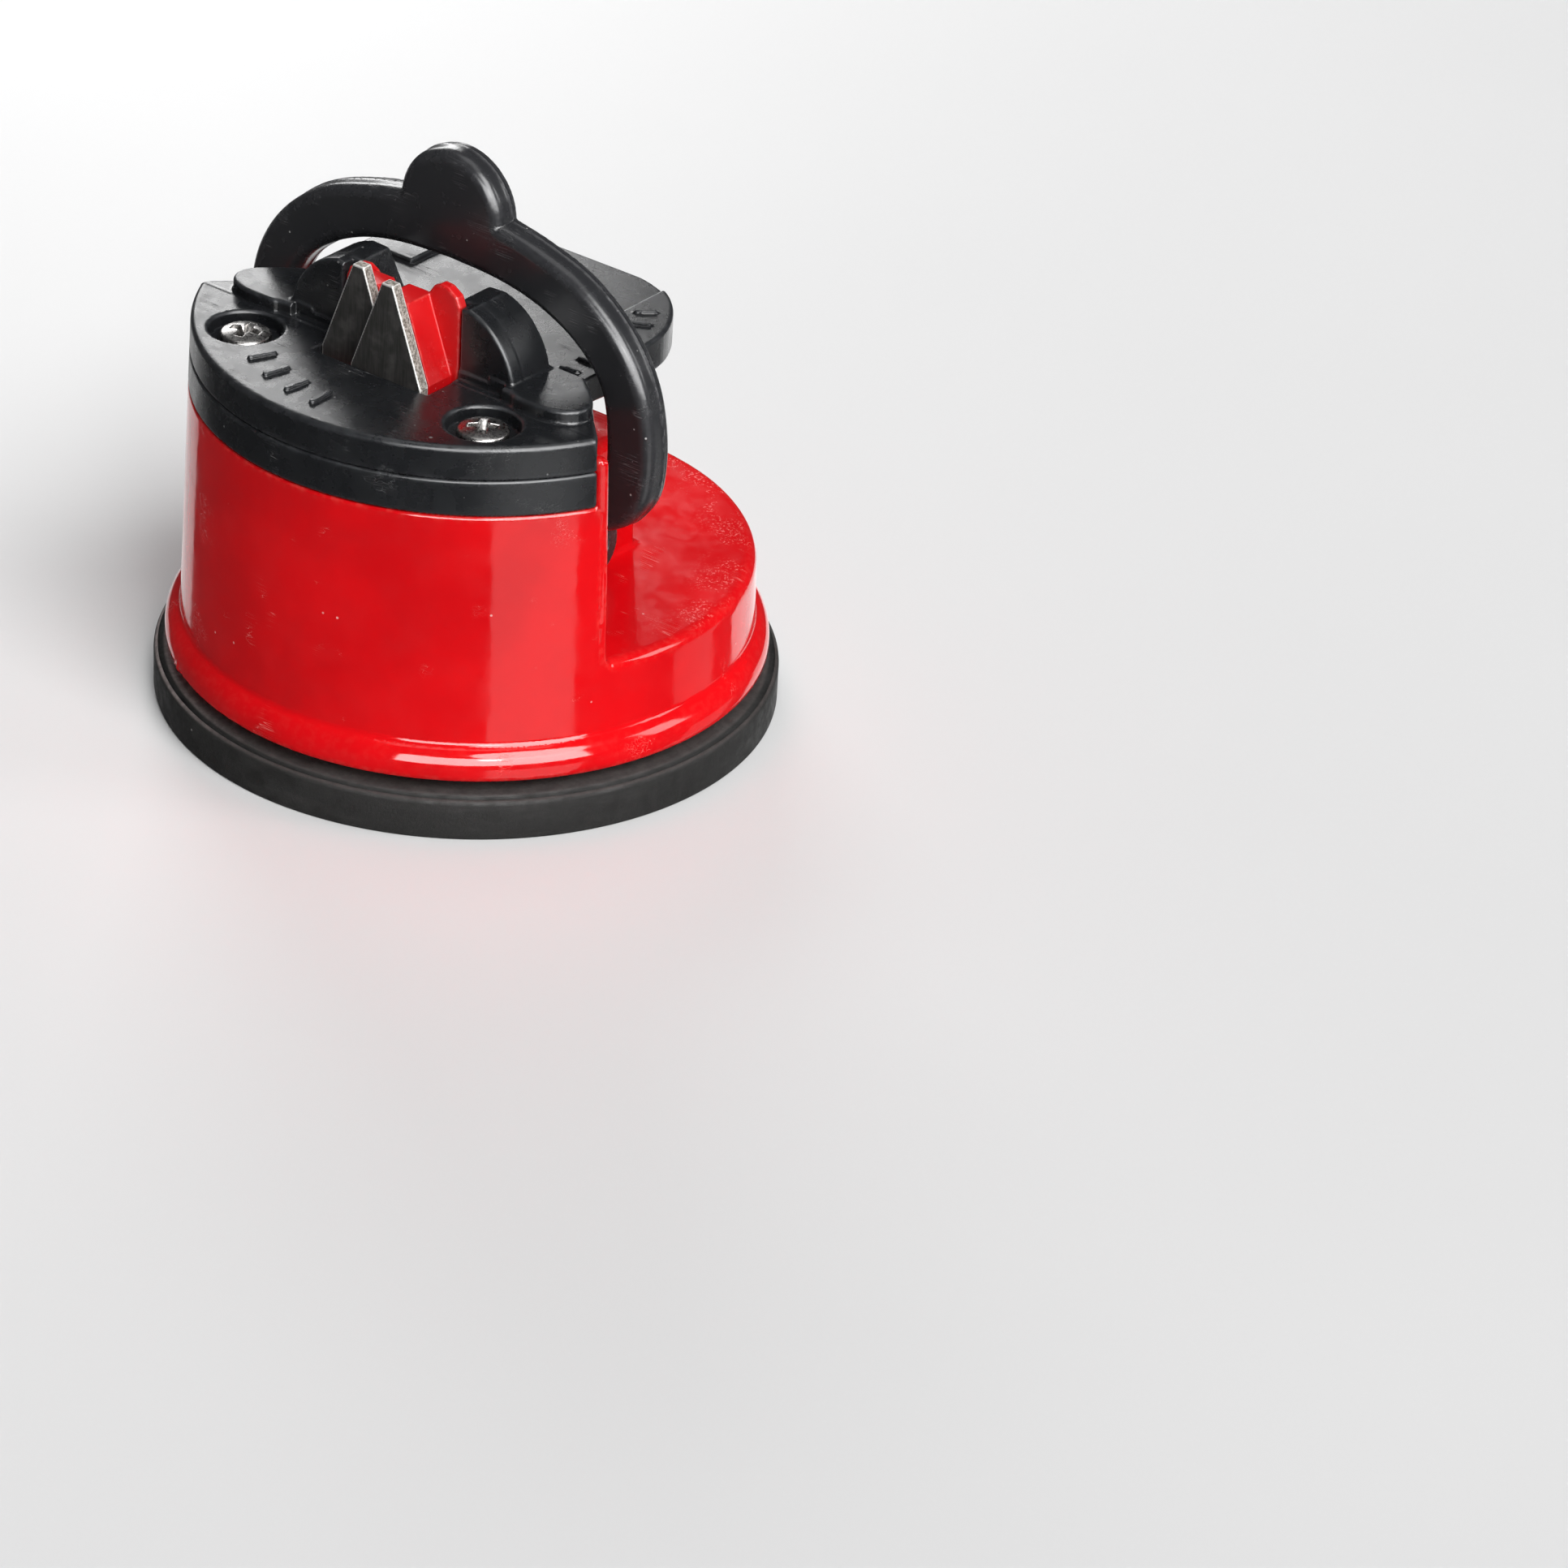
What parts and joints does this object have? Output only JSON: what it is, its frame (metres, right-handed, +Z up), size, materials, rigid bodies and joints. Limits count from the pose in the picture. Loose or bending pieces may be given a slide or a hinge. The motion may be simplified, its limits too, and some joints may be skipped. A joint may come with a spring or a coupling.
{
  "type": "vacuum suction cup knife sharpener",
  "caption": "Benchtop knife sharpener held down by a rubber vacuum cup; an arch lever folds back and lifts the cup's centre.",
  "frame": {"origin": "centre of the cup's sealing lip, on the table surface the cup stands on", "axes": "+Z up away from the table, +X along the lever's axle to the right as seen from the sharpening slot's front, +Y from the screwed front of the head towards the rear shelf that the lever folds over"},
  "size_m": [0.062, 0.062, 0.0589],
  "materials": {
    "rubber_black": "soft moulded rubber, black side wall with a dusty grey-brown bloom on the upper band",
    "red_plastic": "glossy injection-moulded red plastic with fine scratches",
    "red_insert": "semi-gloss moulded red plastic",
    "black_head": "satin black plastic with a fine spark texture, rubbed pale at the edges",
    "black_lever": "satin-gloss black plastic with a parting line along the outer edge",
    "carbide": "ground sintered hard metal, bright along the ground edges",
    "screw_steel": "bright nickel-plated screw with driver wear",
    "zinc_steel": "zinc-plated turned steel",
    "acetal_white": "natural white acetal",
    "bush_bronze": "plain sintered bronze"
  },
  "bodies": {
    "base": {"housing": "red_plastic", "suction_disc": "rubber_black", "guide_plate": "red_plastic", "guide_screws": "screw_steel", "carrier": "black_head", "top_plate": "black_head", "v_insert": "red_insert", "blade_left": "carbide", "blade_right": "carbide", "head_screw_left": "screw_steel", "head_screw_right": "screw_steel", "axle_bush_left": "bush_bronze", "axle_bush_right": "bush_bronze"},
    "lever": {"lever": "black_lever", "cross_axle": "zinc_steel", "lift_cam": "acetal_white", "axle_spacer_left": "acetal_white", "axle_spacer_right": "acetal_white"},
    "lifter": {"cup_stud": "zinc_steel", "lock_nut": "zinc_steel", "lift_yoke": "acetal_white"}
  },
  "joints": [
    {"name": "lever_tilt", "type": "hinge", "parent": "base", "child": "lever", "pos_m": [0, 0.0008, 0.02], "axis": [-1, 0, 0], "range_deg": [0, 100]},
    {"name": "stud_lift", "type": "slide", "parent": "base", "child": "lifter", "axis": [0, 0, 1], "range_m": [0, 0.002], "deforming": ["suction_disc"]}
  ],
  "couplings": [
    {"joint": "stud_lift", "follows": "lever_tilt", "m_per_rad": 0.001145}
  ]
}
